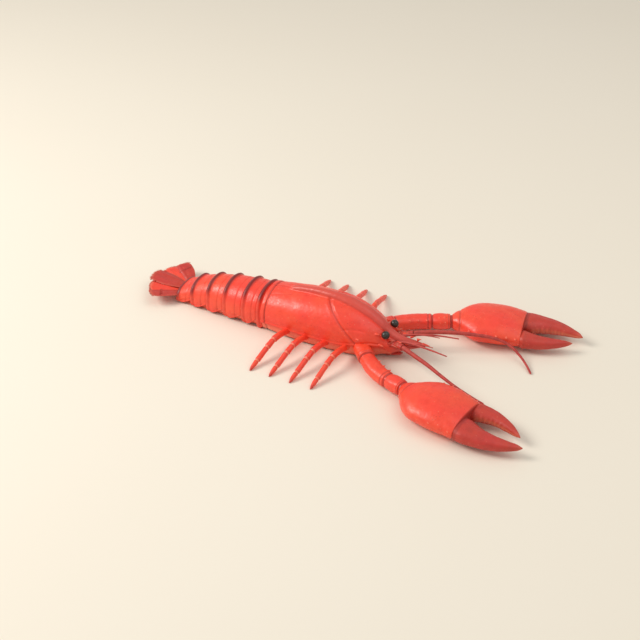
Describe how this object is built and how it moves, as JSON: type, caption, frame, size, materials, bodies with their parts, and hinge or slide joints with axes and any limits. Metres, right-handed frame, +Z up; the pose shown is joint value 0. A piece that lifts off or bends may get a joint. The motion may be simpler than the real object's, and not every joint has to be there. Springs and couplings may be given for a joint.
{
  "type": "cooked lobster",
  "caption": "Whole cooked lobster resting on its belly, with arched tail rings, tail fan, walking legs, long feelers and large claws reaching forward.",
  "frame": {"origin": "on the resting surface, under the middle of the whole length and width", "axes": "+X towards the head and claws, +Y to the animal's left, +Z up"},
  "size_m": [0.3792, 0.1866, 0.0461],
  "materials": {
    "shell": "cooked shell, coral red, semi-gloss",
    "dark_shell": "cooked shell, darker red, semi-gloss",
    "feeler": "dark red, ringed, satin",
    "eye": "black, glossy"
  },
  "bodies": {
    "root": {"antenna_base_left": "dark_shell", "antenna_base_right": "dark_shell", "antenna_left": "feeler", "antenna_right": "feeler", "antennule_left": "feeler", "antennule_right": "feeler", "arm_base_left": "shell", "arm_base_right": "shell", "arm_left": "shell", "arm_right": "shell", "carapace": "shell", "dactyl_left": "dark_shell", "dactyl_right": "dark_shell", "eye_left": "eye", "eye_right": "eye", "eyestalk_left": "shell", "eyestalk_right": "shell", "leg_1_left": "shell", "leg_1_right": "shell", "leg_2_left": "shell", "leg_2_right": "shell", "leg_3_left": "shell", "leg_3_right": "shell", "leg_4_left": "shell", "leg_4_right": "shell", "mouth_leg_left": "dark_shell", "mouth_leg_right": "dark_shell", "palm_left": "shell", "palm_right": "shell", "tail_ring_1": "shell", "tail_ring_2": "shell", "tail_ring_3": "shell", "tail_ring_4": "shell", "tail_ring_5": "shell", "tail_ring_6": "shell", "telson": "dark_shell", "uropod_inner_left": "shell", "uropod_inner_right": "shell", "uropod_outer_left": "dark_shell", "uropod_outer_right": "dark_shell", "wrist_left": "shell", "wrist_right": "shell"}
  },
  "joints": []
}
